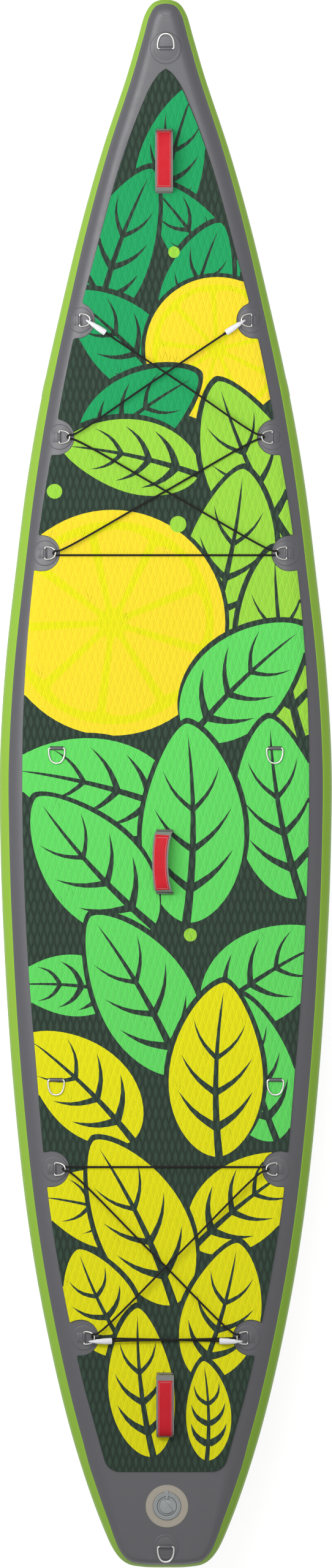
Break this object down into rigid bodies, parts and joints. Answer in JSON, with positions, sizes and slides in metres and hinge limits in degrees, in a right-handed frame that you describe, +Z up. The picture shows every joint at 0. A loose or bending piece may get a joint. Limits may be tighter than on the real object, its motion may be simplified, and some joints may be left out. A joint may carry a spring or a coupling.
{
  "type": "inflatable stand-up paddle board",
  "caption": "Inflatable touring paddle board with pointed nose, foam deck pad, laced bungees on D-rings, webbing carry handles, air valve and a removable fin.",
  "frame": {"origin": "on the flat underside, on the centre line, halfway along the board", "axes": "+Y towards the nose, +X to the right as seen from above with the nose up, +Z up out of the deck"},
  "size_m": [0.808, 3.8115, 0.539],
  "materials": {
    "drop_stitch_core": "matt woven fabric",
    "deck_pvc": "fine embossed PVC",
    "rail_pvc": "satin PVC",
    "bottom_pvc": "satin PVC",
    "eva_pad": "grooved foam",
    "steel": "polished stainless steel",
    "bungee_cord": "braided cover",
    "white_nylon": "satin moulded plastic",
    "webbing": "woven webbing",
    "red_panel": "stitched neoprene",
    "beige_pvc": "satin PVC",
    "valve_plastic": "satin moulded plastic",
    "black_nylon": "satin moulded plastic"
  },
  "bodies": {
    "board": {"aft_bungee": "bungee_cord", "aft_hook_left": "white_nylon", "aft_hook_right": "white_nylon", "bottom_skin": "bottom_pvc", "bungee_patch_left_1": "deck_pvc", "bungee_patch_left_2": "deck_pvc", "bungee_patch_left_3": "deck_pvc", "bungee_patch_left_4": "deck_pvc", "bungee_patch_left_5": "deck_pvc", "bungee_patch_right_1": "deck_pvc", "bungee_patch_right_2": "deck_pvc", "bungee_patch_right_3": "deck_pvc", "bungee_patch_right_4": "deck_pvc", "bungee_patch_right_5": "deck_pvc", "bungee_ring_left_1": "steel", "bungee_ring_left_2": "steel", "bungee_ring_left_3": "steel", "bungee_ring_left_4": "steel", "bungee_ring_left_5": "steel", "bungee_ring_right_1": "steel", "bungee_ring_right_2": "steel", "bungee_ring_right_3": "steel", "bungee_ring_right_4": "steel", "bungee_ring_right_5": "steel", "centre_handle_strap": "webbing", "deck_pad": "eva_pad", "deck_skin": "deck_pvc", "dropstitch_core": "drop_stitch_core", "fin_box": "black_nylon", "fore_bungee": "bungee_cord", "fore_hook_left": "white_nylon", "fore_hook_right": "white_nylon", "front_handle_strap": "webbing", "nose_ring_patch": "deck_pvc", "rail_body": "rail_pvc", "rail_nose": "rail_pvc", "rear_handle_strap": "webbing", "seat_patch_front_left": "deck_pvc", "seat_patch_front_right": "deck_pvc", "seat_patch_rear_left": "deck_pvc", "seat_patch_rear_right": "deck_pvc", "tail_ring_patch": "deck_pvc", "valve_body": "valve_plastic", "valve_label_ring": "beige_pvc", "valve_nut": "valve_plastic", "valve_spring": "steel"},
    "nose_ring": {"nose_ring": "steel"},
    "tail_ring": {"tail_ring": "steel"},
    "seat_ring_front_left": {"seat_ring_front_left": "steel"},
    "seat_ring_front_right": {"seat_ring_front_right": "steel"},
    "seat_ring_rear_left": {"seat_ring_rear_left": "steel"},
    "seat_ring_rear_right": {"seat_ring_rear_right": "steel"},
    "front_handle": {"front_handle_grip": "red_panel"},
    "centre_handle": {"centre_handle_grip": "red_panel"},
    "rear_handle": {"rear_handle_grip": "red_panel"},
    "valve_cap": {"valve_cap": "valve_plastic"},
    "valve_pin": {"valve_pin": "valve_plastic"},
    "fin": {"fin": "black_nylon", "fin_plate": "steel"},
    "fin_screw": {"fin_screw": "steel"}
  },
  "joints": [
    {"name": "nose_ring_swing", "type": "hinge", "parent": "board", "child": "nose_ring", "pos_m": [0, 1.78591, 0.30064], "axis": [1, 0, 0], "range_deg": [0, 175]},
    {"name": "tail_ring_swing", "type": "hinge", "parent": "board", "child": "tail_ring", "pos_m": [0, -1.85, 0.1552], "axis": [-1, 0, 0], "range_deg": [0, 175]},
    {"name": "seat_ring_front_left_swing", "type": "hinge", "parent": "board", "child": "seat_ring_front_left", "pos_m": [-0.2655, 0.0945, 0.1585], "axis": [-1, 0, 0], "range_deg": [0, 175]},
    {"name": "seat_ring_front_right_swing", "type": "hinge", "parent": "board", "child": "seat_ring_front_right", "pos_m": [0.2655, 0.0945, 0.1585], "axis": [-1, 0, 0], "range_deg": [0, 175]},
    {"name": "seat_ring_rear_left_swing", "type": "hinge", "parent": "board", "child": "seat_ring_rear_left", "pos_m": [-0.267, -0.713, 0.1585], "axis": [-1, 0, 0], "range_deg": [0, 175]},
    {"name": "seat_ring_rear_right_swing", "type": "hinge", "parent": "board", "child": "seat_ring_rear_right", "pos_m": [0.267, -0.713, 0.1585], "axis": [-1, 0, 0], "range_deg": [0, 175]},
    {"name": "front_handle_rock", "type": "hinge", "parent": "board", "child": "front_handle", "pos_m": [-0.004, 1.51605, 0.25749], "axis": [0, 0.98, 0.1991], "range_deg": [-30, 30], "stiffness_Nm_per_rad": 0.3},
    {"name": "centre_handle_rock", "type": "hinge", "parent": "board", "child": "centre_handle", "pos_m": [-0.002, -0.182, 0.1673], "axis": [0, 1, 0], "range_deg": [-16, 44], "stiffness_Nm_per_rad": 0.3},
    {"name": "rear_handle_rock", "type": "hinge", "parent": "board", "child": "rear_handle", "pos_m": [-0.0015, -1.5045, 0.1673], "axis": [0, 1, 0], "range_deg": [-30, 30], "stiffness_Nm_per_rad": 0.3},
    {"name": "valve_cap_open", "type": "hinge", "parent": "board", "child": "valve_cap", "pos_m": [0.003, -1.7155, 0.1555], "axis": [-1, 0, 0], "range_deg": [0, 150]},
    {"name": "valve_pin_push", "type": "slide", "parent": "board", "child": "valve_pin", "axis": [0, 0, -1], "range_m": [0, 0.0035], "stiffness_N_per_m": 400, "springref_m": -0.01, "deforming": ["valve_spring"]},
    {"name": "fin_slide", "type": "slide", "parent": "board", "child": "fin", "axis": [0, 1, 0], "range_m": [-0.025, 0.006]},
    {"name": "fin_screw_turn", "type": "hinge", "parent": "fin", "child": "fin_screw", "pos_m": [0, -1.422, -0.026], "axis": [0, 0, 1], "continuous": true}
  ]
}
